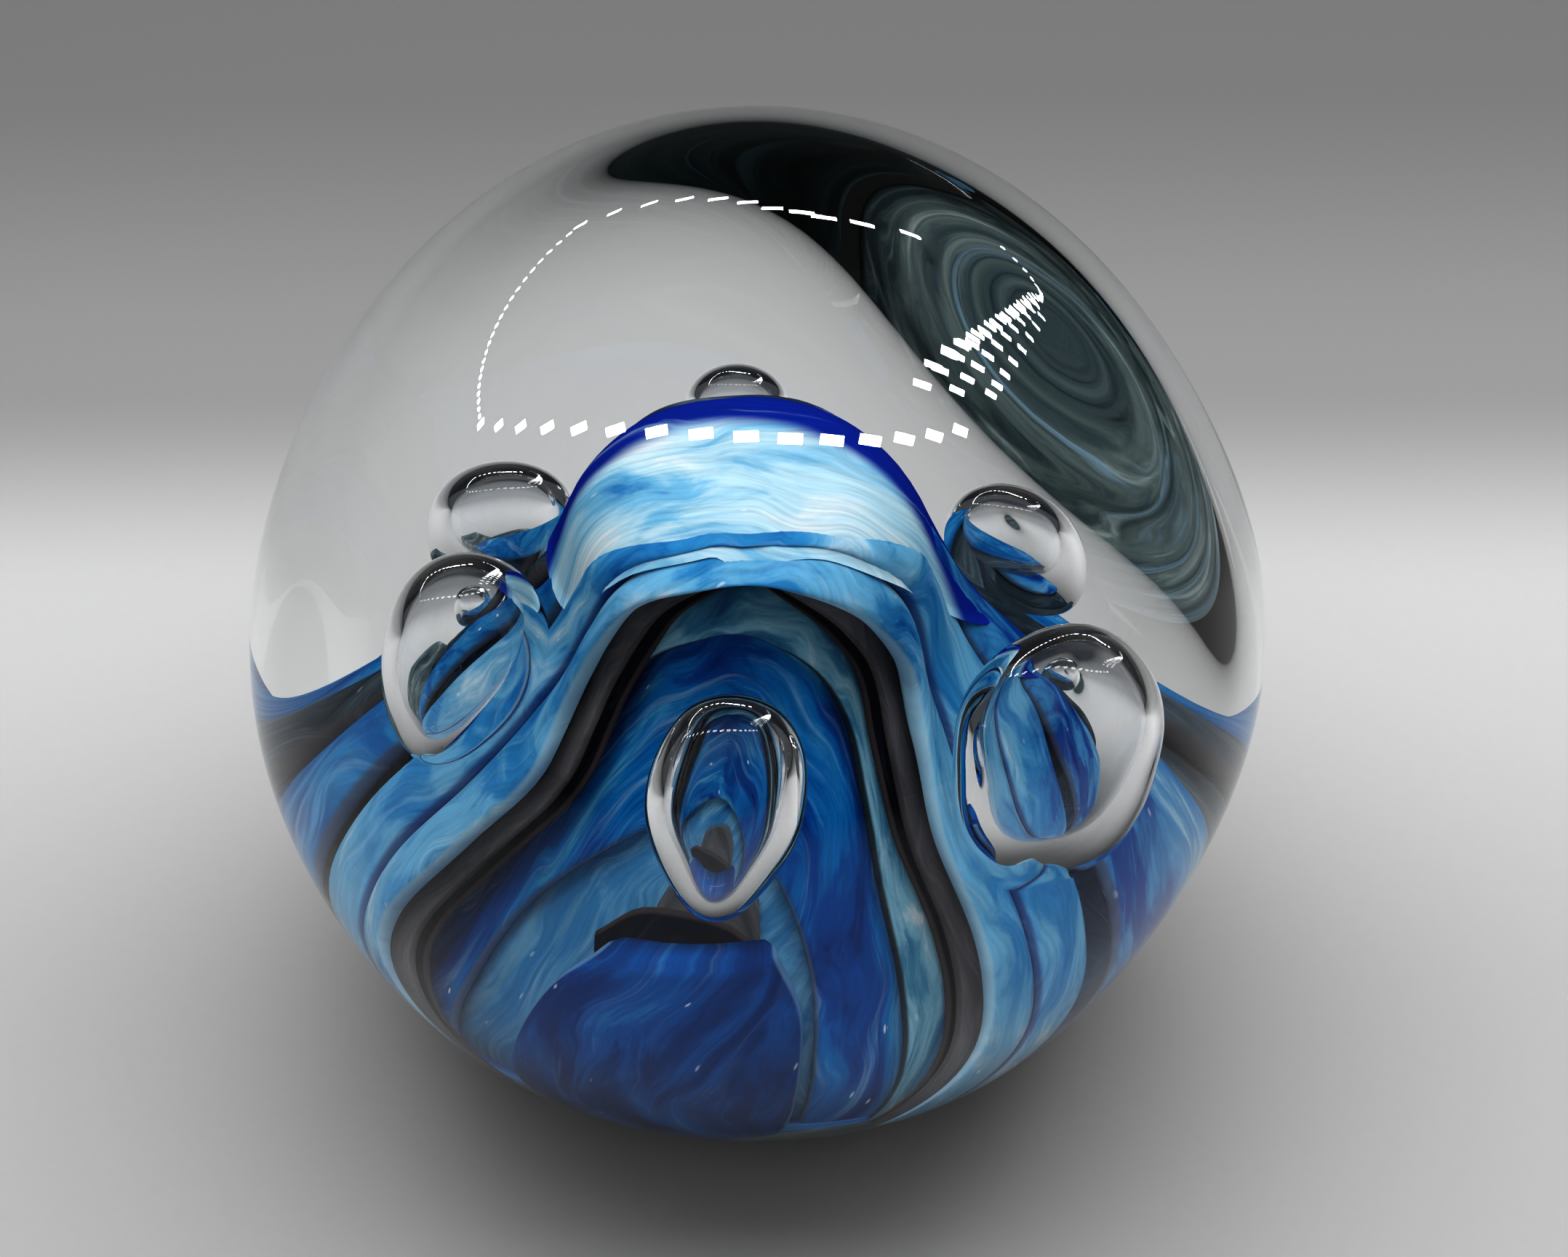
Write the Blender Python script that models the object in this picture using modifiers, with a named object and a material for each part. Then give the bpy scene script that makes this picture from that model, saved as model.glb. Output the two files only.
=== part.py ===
"""Studio-glass paperweight: a clear ball round a folded veil of coloured glass.

A dark core bulb carries a bell-shaped veil that was laid on as separate ribbons of coloured
glass.  An inner clear gather covers the veil, six dimples were pressed into it, and the outer
gather trapped the air in them as egg-shaped bubbles.  The underside is ground flat.

Metres, +Z up, origin at the centre of the ground base.  Azimuth 0 is the front, -Y, and it
grows towards +X.  Lengths at the top of the file are millimetres, azimuths are degrees.
"""
import math

import bmesh
import bpy
import numpy as np
from mathutils import Euler, Matrix, Vector

MM = 0.001

# Ball
BALL_RADIUS = 40.0
BALL_HALF_HEIGHT = 43.0
BASE_RADIUS = 20.0
BASE_CHAMFER = 0.6
BALL_CENTRE = BALL_HALF_HEIGHT * math.sqrt(1 - (BASE_RADIUS / BALL_RADIUS) ** 2)
BALL_SEGMENTS = 32

# Gathers and core
GAP = 0.3
CAVITY_GAP = 0.6
SEAM = 0.8
CORE_FOOT_RADIUS = 8.0
INNER_FOOT_RADIUS = 11.0
CORE_DEPTH = 7.0
GATHER_HEIGHTS = ((63.5, 0.0), (61.5, 7.5), (56.0, 13.2), (47.0, 17.0), (39.0, 18.4),
                  (30.0, 22.2), (21.0, 25.6), (13.0, 24.8), (6.0, 18.6), (2.0, 13.0))

# Veil: height and radius of the bell that the ribbons form
VEIL_OUTLINE = ((55.0, 0.0), (54.0, 4.0), (52.0, 6.9), (49.0, 8.5), (45.0, 9.5), (40.7, 10.9),
                (36.0, 13.9), (31.0, 17.0), (26.0, 20.0), (21.5, 22.2), (17.5, 23.0),
                (13.5, 22.2), (9.8, 19.5), (6.8, 15.5), (4.6, 11.0))
DENT_DEPTH = 1.5
DENT_SPREAD = 5.0
STATION = 3.4

# Bubbles: azimuth, ring radius, height, then full size round, out and up, and lean
BUBBLES = {
    "front": (-6.0, 16.9, 39.2, 9.4, 9.0, 13.4, 0.0),
    "front_left": (-80.0, 16.3, 39.6, 9.4, 9.4, 11.0, 8.0),
    "front_right": (63.0, 19.6, 36.9, 11.8, 11.8, 14.8, 14.0),
    "rear_left": (-132.0, 16.4, 38.4, 7.6, 7.6, 7.8, 0.0),
    "rear_right": (121.0, 16.4, 38.4, 7.6, 7.6, 7.8, 0.0),
    "rear": (177.0, 17.4, 39.6, 7.6, 7.6, 8.6, 0.0),
}

# Depths of the layers under the veil's outer face, and their thicknesses
OUTER_LAYER = (0.0, 0.85)
SHELF_LAYER = (1.2, 0.35)
RECESS_LAYER = (2.1, 0.35)
TEAL_LAYER = (2.9, 0.7)
FACE_LAYER = (4.05, 0.7)
PANEL_LAYER = (5.2, 0.7)
LOBE_LAYER = (1.6, 2.6)

# Edges of the front arches, (azimuth, height) from the left foot over the crown
LIP_EDGE = ((-44, 12), (-60, 18.5), (-68, 24), (-62, 30), (-54, 35), (-55, 40), (-42, 46),
            (-15, 49.3), (12, 49.3), (38, 46), (53, 41), (47, 37), (41, 33), (40, 27),
            (34, 20.5), (20, 13))
MID_EDGE = ((-54, 10), (-68, 18), (-76, 26), (-71, 33), (-64, 41), (-48, 48), (-20, 51.5),
            (10, 51.8), (40, 49.8), (64, 44), (59, 38), (53, 32.5), (50, 27), (43, 20), (29, 11))
CREST_EDGE = ((-64, 9), (-80, 19), (-89, 27), (-88, 34), (-82, 42), (-62, 49), (-30, 53),
              (5, 53.8), (42, 52.2), (78, 46.5), (76, 38), (67, 29), (57, 23), (48, 17),
              (37, 10))
TEAL_EDGE = ((-68, 13), (-74, 20.5), (-76, 24), (-72, 28.5), (-65, 33), (-59, 37.5),
             (-50, 42), (-30, 45), (-5, 46), (18, 45.4), (40, 43.2), (55, 39.5), (48, 36),
             (41, 32), (39, 28), (36, 22.5), (25, 14))
FACE_EDGE = ((-62, 13), (-68, 20), (-70.5, 24.5), (-66, 29), (-58, 34.5), (-51, 39),
             (-37, 41.8), (-12, 43.4), (8, 42.7), (25, 41), (34, 38), (32, 34.5), (29, 30),
             (27.5, 25), (24, 19.5), (16, 12.5))
PANEL_EDGE = ((-50, 11), (-58, 15), (-59, 20), (-55, 26), (-40, 30.5), (-22, 33), (-6, 32.8),
              (6, 30), (11, 26), (10, 21), (5, 13))
PANEL_LEFT = ((-53, 11), (-61, 15), (-62, 20), (-58, 26.5), (-44, 31.5), (-26, 34))
PANEL_RIGHT = ((8, 13), (13, 21), (14, 26), (9, 30.5), (1, 33), (-8, 34))
LOBE_LEFT = ((-36, 10), (-43, 15.5), (-43, 19.5), (-39, 24), (-31, 26.8))
LOBE_RIGHT = ((0, 10), (4.5, 15.5), (7, 20.5), (8, 24.5), (4, 27.6))

# Single ribbons on the flanks, near edge and far edge
LEFT_RIBBON = (((-71, 8.8), (-85, 19), (-94, 27), (-93, 34), (-87, 41)),
               ((-84, 8), (-100, 18), (-111, 27), (-109, 35), (-98, 42)))
COBALT_RIBBON = (((43, 9.4), (54, 16.5), (63, 22.5), (73, 28.5), (82, 38), (85, 44)),
                 ((58, 8), (78, 17), (98, 24), (110, 32), (111, 39), (102, 45)))

# Edges of the rear arches and the hidden side veils
REAR_LIP = ((150, 11), (143, 20), (142, 29), (150, 38), (165, 43.5), (182, 45), (199, 43.5),
            (214, 38), (220, 29), (218, 20), (210, 11))
REAR_MID = ((136, 9.5), (128, 20), (127, 30), (134, 40), (156, 48), (182, 50), (208, 48),
            (228, 40), (234, 30), (232, 20), (224, 9.5))
REAR_CREST = ((124, 8.5), (117, 19), (117, 30), (120, 41), (145, 50.5), (182, 52.6),
              (215, 50.5), (239, 41), (244, 30), (243, 19), (236, 8.5))
REAR_PANEL = ((172, 12), (166, 20), (167, 27), (182, 31), (197, 27), (198, 20), (192, 12))
REAR_LEFT = ((170, 12), (163, 20), (164, 27.5), (176, 32))
REAR_RIGHT = ((194, 12), (201, 20), (200, 27.5), (188, 32))
SIDE_VEILS = {
    "left_side_veil": (((-96, 9), (-103, 20), (-103, 31), (-97, 40)),
                       ((-114, 9), (-122, 20), (-122, 31), (-122, 40))),
    "right_side_veil": (((76, 9), (94, 19), (105, 29), (106, 40)),
                        ((112, 9), (124, 20), (124, 31), (124, 40))),
}
CAP_LOOP = ((-180, 49), (-150, 46.5), (-120, 43), (-98, 42), (-76, 46), (-50, 50.8), (0, 52.6),
            (45, 50.8), (72, 46.5), (92, 43), (120, 43), (150, 46.5), (180, 49))

COLOURS = {
    "clear_glass": ((0.93, 0.95, 0.96, 1), 0.02),
    "deep_blue_glass": ((0.01, 0.08, 0.40, 1), 0.15),
    "sky_blue_glass": ((0.22, 0.55, 0.80, 1), 0.15),
    "teal_glass": ((0.10, 0.34, 0.52, 1), 0.15),
    "cobalt_glass": ((0.02, 0.02, 0.30, 1), 0.15),
    "grey_glass": ((0.12, 0.10, 0.12, 1), 0.2),
    "black_glass": ((0.006, 0.007, 0.012, 1), 0.15),
}


def smooth_curve(points, steps):
    """Catmull-Rom curve through points, with the given number of steps per span."""
    p = np.array(points, float)
    p = np.vstack((2 * p[0] - p[1], p, 2 * p[-1] - p[-2]))
    out = []
    for a, b, c, d in zip(p[:-3], p[1:-2], p[2:-1], p[3:]):
        for t in np.arange(steps) / steps:
            out.append(0.5 * (2 * b + (c - a) * t + (2 * a - 5 * b + 4 * c - d) * t**2
                              + (3 * b - a - 3 * c + d) * t**3))
    out.append(p[-2])
    return np.array(out)


VEIL_CURVE = smooth_curve(VEIL_OUTLINE, 10)


def offset_outline(depth):
    """Heights and radii of the veil's outline, moved inwards by depth."""
    slope = np.gradient(VEIL_CURVE, axis=0)
    length = np.hypot(slope[:, 0], slope[:, 1])
    height = VEIL_CURVE[:, 0] - depth * slope[:, 1] / length
    radius = VEIL_CURVE[:, 1] + depth * slope[:, 0] / length
    keep = radius > 0
    keep[0] = True
    return height[keep][::-1], np.maximum(radius[keep], 0)[::-1]


def dent(azimuth, height):
    """How far the bubbles press the veil in at a place on it."""
    deepest = 0.0
    for bearing, ring, level, *_ in BUBBLES.values():
        turn = math.radians((azimuth - bearing + 180) % 360 - 180)
        reach = (turn * ring) ** 2 + (height - level) ** 2
        deepest = max(deepest, math.exp(-reach / (2 * DENT_SPREAD**2)))
    return DENT_DEPTH * deepest


def around(azimuth, radius, height):
    """A point in metres from its azimuth, radius and height."""
    turn = math.radians(azimuth)
    return Vector((radius * math.sin(turn), -radius * math.cos(turn), height)) * MM


def veil_point(azimuth, height, depth):
    """A point on the layer that lies depth under the veil's outer face."""
    heights, radii = offset_outline(depth)
    level = min(max(height, heights[0]), heights[-1])
    radius = float(np.interp(level, heights, radii))
    return around(azimuth, max(radius - dent(azimuth, level), 0.0), level)


def on_surface(edge):
    """An edge as lengths along the veil: round it, and up its outline."""
    heights, radii = offset_outline(0)
    climb = np.concatenate(([0], np.cumsum(np.hypot(np.diff(heights), np.diff(radii)))))
    radius = np.interp(edge[:, 1], heights, radii)
    return np.column_stack((np.radians(edge[:, 0]) * radius, np.interp(edge[:, 1], heights, climb)))


def resample(edge, count):
    """Count points at even spacing along an edge."""
    curve = smooth_curve(edge, 12)
    length = np.concatenate(([0], np.cumsum(np.hypot(*np.diff(on_surface(curve), axis=0).T))))
    places = np.linspace(0, length[-1], count)
    return np.column_stack([np.interp(places, length, curve[:, k]) for k in (0, 1)])


def shifted(edge, at_feet, at_crown):
    """An arch edge moved outwards, or inwards where negative, by more or less at its crown."""
    points = resample(edge, 30)
    share = np.linspace(0, math.pi, len(points))
    distance = at_feet + (at_crown - at_feet) * np.sin(share) ** 2
    heights, radii = offset_outline(0)
    climb = np.concatenate(([0], np.cumsum(np.hypot(np.diff(heights), np.diff(radii)))))
    radius = np.interp(points[:, 1], heights, radii)
    level = np.interp(points[:, 1], heights, climb)
    run = np.gradient(on_surface(points), axis=0)
    run /= np.hypot(run[:, 0], run[:, 1])[:, None]
    points[:, 0] -= np.degrees(distance * run[:, 1] / radius)
    points[:, 1] = np.interp(level + distance * run[:, 0], climb, heights)
    return points


def finish(obj, collection, material):
    """Put an object in its collection with its material, shaded smooth."""
    obj.data.materials.append(material)
    obj.data.shade_smooth()
    obj.data.set_sharp_from_angle(angle=math.radians(50))
    collection.objects.link(obj)
    return obj


def sheet_object(name, rows, closed):
    """An open surface over rows of points; closed rows run all the way round."""
    mesh = bmesh.new()
    grid = [[mesh.verts.new(point) for point in row] for row in rows]
    for near, far in zip(grid, grid[1:]):
        last = len(near) if closed else len(near) - 1
        for k in range(last):
            n = (k + 1) % len(near)
            mesh.faces.new((near[k], near[n], far[n], far[k]))
    bmesh.ops.remove_doubles(mesh, verts=mesh.verts, dist=0.00001)
    data = bpy.data.meshes.new(name)
    mesh.to_mesh(data)
    mesh.free()
    return bpy.data.objects.new(name, data)


def thicken(obj, thickness):
    """Turn an open sheet into a solid ribbon, growing inwards."""
    solid = obj.modifiers.new("thickness", "SOLIDIFY")
    solid.thickness = thickness * MM
    solid.offset = -1
    return obj


def ribbon(name, near, far, layer, crown=0.0):
    """A ribbon of glass between two edges that both run from foot to foot."""
    depth, thickness = layer
    length = np.hypot(*np.diff(on_surface(resample(near, 40)), axis=0).T).sum()
    stations = int(length / STATION) + 2
    a, b = resample(near, stations), resample(far, stations)
    widths = np.hypot(*(on_surface(b) - on_surface(a)).T)
    lanes = max(1, round(widths.mean() / STATION))
    rows = []
    for near_point, far_point, width in zip(a, b, widths):
        margin = min(SEAM / width, 0.35)
        row = []
        for share in np.linspace(margin, 1 - margin, lanes + 1):
            azimuth, height = near_point * (1 - share) + far_point * share
            rise = crown * math.sin(math.pi * share)
            row.append(veil_point(azimuth, height, depth - rise))
        rows.append(row)
    return thicken(sheet_object(name, rows, False), thickness)


def cap(name, loop, layer, rings=3, spokes=24):
    """The round top of the veil, above a closed loop."""
    depth, thickness = layer
    heights, radii = offset_outline(depth)
    top = radii < radii.max() * 0.75
    top &= heights > heights.mean()
    edge = smooth_curve(loop, 12)
    rows = []
    for ring in range(rings + 1):
        row = []
        for azimuth in np.arange(spokes) * 360 / spokes - 180:
            rim = np.interp(azimuth, edge[:, 0], edge[:, 1])
            rim_radius = np.interp(rim, heights, radii)
            radius = rim_radius * (1 - ring / rings)
            height = np.interp(-radius, -radii[top], heights[top])
            row.append(around(azimuth, max(radius - dent(azimuth, height) * radius / 12, 0), height))
        rows.append(row)
    return thicken(sheet_object(name, rows, True), thickness)


def turned(name, outline, segments):
    """A solid of revolution from an outline of (height, radius) that starts on the axis."""
    data = bpy.data.meshes.new(name)
    points = [(radius * MM, 0, height * MM) for height, radius in outline]
    data.from_pydata(points, [(k, k + 1) for k in range(len(points) - 1)], [])
    source = bpy.data.objects.new(name + "_outline", data)
    bpy.context.scene.collection.objects.link(source)
    screw = source.modifiers.new("turn", "SCREW")
    screw.steps = screw.render_steps = segments
    screw.use_merge_vertices = True
    screw.merge_threshold = 0.00001
    graph = bpy.context.evaluated_depsgraph_get()
    solid = bpy.data.meshes.new_from_object(source.evaluated_get(graph))
    solid.name = name
    bpy.data.objects.remove(source)
    return bpy.data.objects.new(name, solid)


def ball_outline(rows):
    """The ball's outside, from the crown down to the ground base."""
    foot = math.acos(-BALL_CENTRE / BALL_HALF_HEIGHT)
    angles = np.linspace(0, foot, rows + 1)
    points = [(BALL_CENTRE + BALL_HALF_HEIGHT * math.cos(a), BALL_RADIUS * math.sin(a))
              for a in angles]
    points[0] = (points[0][0], 0.0)
    points[-1] = (BASE_CHAMFER, BASE_RADIUS)
    return points + [(0.0, BASE_RADIUS - BASE_CHAMFER)]


def gather_outline(inset):
    """The inner gather's outside from its crown down, moved inwards by inset."""
    curve = smooth_curve(GATHER_HEIGHTS, 1)
    slope = np.gradient(curve, axis=0)
    length = np.hypot(slope[:, 0], slope[:, 1])
    height = curve[:, 0] - inset * slope[:, 1] / length
    radius = np.maximum(curve[:, 1] + inset * slope[:, 0] / length, 0)
    radius[0] = 0.0
    return [(float(h), float(r)) for h, r in zip(height, radius)]


def cavity_outline():
    """The inner gather's inside, one gap outside the veil, from the foot up to the crown."""
    heights, radii = offset_outline(-CAVITY_GAP)
    picks = range(0, len(heights), 11)
    points = [(float(heights[k]), float(radii[k])) for k in picks]
    points.append((float(heights[-1]), 0.0))
    return points


def press_dents(obj, shallow):
    """Push the cavity wall in where the bubbles press on the veil."""
    for vertex in obj.data.vertices:
        x, y, z = vertex.co / MM
        radius = math.hypot(x, y)
        if 0.1 < radius and shallow(z, radius):
            azimuth = math.degrees(math.atan2(x, -y))
            keep = (radius - dent(azimuth, z)) / radius
            vertex.co.x *= keep
            vertex.co.y *= keep


def bubble_cutter(name, collection):
    """An egg-shaped cutter in its dimple, wider at the top than at the bottom."""
    bearing, ring, level, across, out, tall, lean = BUBBLES[name]
    data = bpy.data.meshes.new("bubble_" + name)
    mesh = bmesh.new()
    bmesh.ops.create_uvsphere(mesh, u_segments=12, v_segments=8, radius=0.5)
    for vertex in mesh.verts:
        swell = 1 + 0.25 * vertex.co.z
        vertex.co = Vector((vertex.co.x * across * swell, vertex.co.y * out * swell,
                            vertex.co.z * tall)) * MM
    mesh.to_mesh(data)
    mesh.free()
    obj = bpy.data.objects.new("bubble_" + name, data)
    tilt = Euler((0, math.radians(lean), 0)).to_matrix()
    turn = Matrix.Rotation(math.radians(bearing), 3, "Z")
    obj.matrix_world = Matrix.Translation(around(bearing, ring, level)) @ (turn @ tilt).to_4x4()
    obj.hide_render = True
    obj.display_type = "WIRE"
    collection.objects.link(obj)
    return obj


def cut(obj, cutters):
    """Take the bubbles out of a gather."""
    for cutter in cutters:
        boolean = obj.modifiers.new(cutter.name, "BOOLEAN")
        boolean.operation = "DIFFERENCE"
        boolean.solver = "EXACT"
        boolean.object = cutter


def outer_gather(cutters):
    """The clear outside of the ball, open at the base for the inner gather."""
    inside = gather_outline(-GAP)[::-1]
    foot = [(0.0, INNER_FOOT_RADIUS + GAP), (inside[0][0], INNER_FOOT_RADIUS + GAP + 1.0)]
    obj = turned("outer_gather", ball_outline(12) + foot + inside[1:], BALL_SEGMENTS)
    cut(obj, cutters)
    return obj


def inner_gather(cutters):
    """The clear layer over the veil, with the dimples that became the bubbles."""
    outside = gather_outline(0.0)[:-1]
    foot = [(2.0, INNER_FOOT_RADIUS + 0.8), (0.0, INNER_FOOT_RADIUS),
            (0.0, CORE_FOOT_RADIUS + GAP), (2.6, CORE_FOOT_RADIUS + GAP)]
    obj = turned("inner_gather", outside + foot + cavity_outline(), BALL_SEGMENTS)
    veil_heights, veil_radii = offset_outline(-CAVITY_GAP)
    press_dents(obj, lambda z, r: r < np.interp(z, veil_heights, veil_radii) + 0.05)
    cut(obj, cutters)
    return obj


def core_bulb():
    """The dark core under the veil, on a neck that is ground flush with the base."""
    heights, radii = offset_outline(CORE_DEPTH)
    points = [(float(heights[-1]), 0.0)]
    points += [(float(heights[k]), float(radii[k])) for k in range(len(heights) - 6, 8, -14)]
    neck = CORE_FOOT_RADIUS - 1.0
    points = [p for p in points if p[0] > 12 or p[1] > neck]
    points += [(9.0, neck), (3.0, neck), (1.0, CORE_FOOT_RADIUS), (0.0, CORE_FOOT_RADIUS), (0.0, 0.0)]
    return turned("core_bulb", points, 24)


def front_ribbons():
    """The nested arches round the front bubble, outermost first."""
    yield ribbon("lip_band", MID_EDGE, LIP_EDGE, OUTER_LAYER), "sky_blue_glass"
    yield ribbon("crest_band", CREST_EDGE, MID_EDGE, OUTER_LAYER), "sky_blue_glass"
    yield ribbon("shelf_ribbon", shifted(LIP_EDGE, 2.0, 2.0), shifted(LIP_EDGE, -1.0, -1.5),
                 SHELF_LAYER), "grey_glass"
    yield ribbon("recess_ribbon", shifted(LIP_EDGE, 1.5, 0.8), shifted(LIP_EDGE, -0.9, -2.8),
                 RECESS_LAYER), "black_glass"
    yield ribbon("teal_ribbon", TEAL_EDGE, FACE_EDGE, TEAL_LAYER), "teal_glass"
    yield ribbon("blue_face", shifted(FACE_EDGE, 1.0, 1.5), PANEL_EDGE, FACE_LAYER), "deep_blue_glass"


def front_heart():
    """The panel, slot lining and lobe inside the innermost front arch."""
    yield ribbon("sky_panel", PANEL_LEFT, PANEL_RIGHT, PANEL_LAYER), "teal_glass"
    slot_top = ((-37, 27), (-28, 29.6), (-14, 30), (-2, 30.2), (8, 28))
    slot_low = ((-33, 24), (-25, 23.5), (-14, 24), (-4, 24.5), (4, 24.5))
    yield ribbon("slot_lining", slot_top, slot_low, (4.5, 0.3)), "black_glass"
    yield ribbon("lower_lobe", LOBE_LEFT, LOBE_RIGHT, LOBE_LAYER), "deep_blue_glass"


def flank_ribbons():
    """The ribbons on the flanks and the veils behind their seams."""
    yield ribbon("left_ribbon", *LEFT_RIBBON[::-1], OUTER_LAYER), "deep_blue_glass"
    yield ribbon("cobalt_ribbon", *COBALT_RIBBON, OUTER_LAYER), "cobalt_glass"
    yield ribbon("left_side_veil", *SIDE_VEILS["left_side_veil"][::-1],
                 SHELF_LAYER), "deep_blue_glass"
    yield ribbon("right_side_veil", *SIDE_VEILS["right_side_veil"],
                 SHELF_LAYER), "cobalt_glass"
    yield cap("crest_cap", CAP_LOOP, SHELF_LAYER), "cobalt_glass"


def rear_ribbons():
    """The simpler arches on the back of the veil."""
    yield ribbon("rear_crest_band", REAR_CREST, REAR_MID, OUTER_LAYER), "sky_blue_glass"
    yield ribbon("rear_lip_band", REAR_MID, REAR_LIP, OUTER_LAYER), "sky_blue_glass"
    yield ribbon("rear_shelf_ribbon", shifted(REAR_LIP, 2.0, 2.0), shifted(REAR_LIP, -1.0, -1.0),
                 SHELF_LAYER), "grey_glass"
    yield ribbon("rear_recess_ribbon", shifted(REAR_LIP, 1.0, 0.8), shifted(REAR_LIP, -1.4, -1.0),
                 RECESS_LAYER), "black_glass"
    yield ribbon("rear_face", shifted(REAR_LIP, -1.2, -1.2), REAR_PANEL, TEAL_LAYER), "deep_blue_glass"
    yield ribbon("rear_panel", REAR_LEFT, REAR_RIGHT, FACE_LAYER), "teal_glass"


def material(name, colour, roughness):
    """A Principled material for one kind of glass."""
    made = bpy.data.materials.new(name)
    made.use_nodes = True
    made.diffuse_color = colour
    shader = made.node_tree.nodes["Principled BSDF"]
    shader.inputs["Base Color"].default_value = colour
    shader.inputs["Roughness"].default_value = roughness
    shader.inputs["Metallic"].default_value = 0.0
    if name == "clear_glass":
        shader.inputs["Transmission Weight"].default_value = 1.0
        shader.inputs["IOR"].default_value = 1.5
    return made


def main():
    for obj in list(bpy.data.objects):
        bpy.data.objects.remove(obj)
    parts = bpy.data.collections.new("paperweight")
    tools = bpy.data.collections.new("cutters")
    for collection in (parts, tools):
        bpy.context.scene.collection.children.link(collection)
    glass = {name: material(name, *look) for name, look in COLOURS.items()}
    cutters = [bubble_cutter(name, tools) for name in BUBBLES]
    finish(outer_gather(cutters), parts, glass["clear_glass"])
    finish(inner_gather(cutters), parts, glass["clear_glass"])
    finish(core_bulb(), parts, glass["deep_blue_glass"])
    for group in (front_ribbons, front_heart, flank_ribbons, rear_ribbons):
        for obj, colour in group():
            finish(obj, parts, glass[colour])


main()
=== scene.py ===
"""Looks of the studio-glass paperweight: clear ball, trapped bubbles and folded glass veil."""
import math
import bmesh
import bpy
import numpy as np
from mathutils import Euler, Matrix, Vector, noise


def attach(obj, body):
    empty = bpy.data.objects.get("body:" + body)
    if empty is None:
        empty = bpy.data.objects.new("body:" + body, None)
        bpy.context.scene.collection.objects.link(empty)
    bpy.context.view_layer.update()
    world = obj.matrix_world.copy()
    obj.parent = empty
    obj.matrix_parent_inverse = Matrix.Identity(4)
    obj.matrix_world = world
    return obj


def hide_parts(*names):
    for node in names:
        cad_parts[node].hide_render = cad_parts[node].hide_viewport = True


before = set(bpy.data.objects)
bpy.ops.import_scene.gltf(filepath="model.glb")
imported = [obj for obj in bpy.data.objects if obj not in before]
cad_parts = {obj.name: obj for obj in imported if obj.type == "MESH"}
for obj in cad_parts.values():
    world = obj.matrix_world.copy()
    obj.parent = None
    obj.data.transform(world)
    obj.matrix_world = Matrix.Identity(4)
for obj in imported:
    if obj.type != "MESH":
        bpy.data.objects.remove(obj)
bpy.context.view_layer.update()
MM = 0.001

# Sizes in millimetres, azimuths in degrees from the front (-Y) towards +X.
# The ball is an egg cut flat at its base: its radius, its half height if it were whole, the
# height of its middle, and the height where the skin meets the base's rounded edge
BALL_RADIUS = 40.6
BALL_HALF_HEIGHT = 42.0
BALL_CENTRE = 37.24
BASE_EDGE = 0.3
# Rings of the base's edge, as shares of the ball's last ring, and their heights. Faces under
# GROUND_TOP are ground, the rest are polished
BASE_RINGS = ((0.990, 0.06), (0.975, 0.0), (0.95, 0.0))
GROUND_TOP = 0.08
BALL_SEGMENTS = 288
BALL_RINGS = 190
# Elevation of the top ring, and the elevations and steps in which the base's edge is looked for
TOP_RING = 89.7
BASE_SEARCH = (-85, -25, 301)

# Unevenness of the hand-shaped ball, fitted to its outline and to the reflection inside it:
# azimuth, elevation from its middle, how far it swells out (or in, where negative), and how
# many degrees it spreads over
SWELLS = ((118, 28, -2.5, 20), (-110, 22, -1.4, 24), (63, -28, -2.0, 22), (-60, -31, -1.0, 22),
          (0, -50, -1.4, 20), (180, -34, 2.6, 16), (156, -15, -3.6, 11), (92, 53, 1.0, 16))

# Veil: height and radius of the bell that the ribbons form
VEIL_OUTLINE = ((50.2, 0.0), (49.8, 3.8), (48.7, 7.0), (46.4, 9.2), (43.0, 10.5), (39.5, 12.0),
                (36.0, 14.2), (31.0, 17.0), (26.0, 20.0), (21.5, 22.2), (17.5, 23.0),
                (13.5, 22.2), (9.8, 19.5), (6.8, 15.5), (4.6, 11.0))
# How deep each bubble presses into the veil, and how far round it the dent spreads
DENT_DEPTH = 1.5
DENT_SPREAD = 5.0
# How far the crown leans to the right and to the back, or to the left and front if negative
CROWN_LEAN = (-0.7, -0.6)
# How much higher the foot of a layer is for each millimetre that it lies deeper
FOOT_RISE = 0.9

# Bubbles: azimuth, ring radius, height, full width along X and full length, and where the
# top leans to: degrees to the right and away from the front
BUBBLES = {
    "front": (-6.5, 16.9, 38.4, 9.5, 14.2, 8, 20),
    "front_left": (-80.0, 16.3, 38.4, 9.2, 12.4, 18, 20),
    "front_right": (61.0, 19.2, 36.2, 12.4, 16.8, 24, 15),
    "rear_left": (-131.0, 15.9, 35.6, 6.8, 8.4, 20, 0),
    "rear_right": (124.0, 15.3, 36.2, 6.4, 8.4, -25, 0),
    "rear": (183.0, 16.5, 37.5, 5.0, 6.0, 0, 0),
}
# Depth from front to back as a share of the width, how much fatter a bubble is above its
# middle, and how uneven its skin is, over what distance
BUBBLE_FLATNESS = 0.74
BUBBLE_SWELL = 0.30
BUBBLE_UNEVENNESS, BUBBLE_UNEVEN_REACH = 0.05, 5.0
BUBBLE_RINGS, BUBBLE_SEGMENTS = 40, 64
POLE_GAP = 0.03
SEED_BUBBLE = (-33.0, 27.5, 10.0, 1.1, 1.9, 10, 0)

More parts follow.
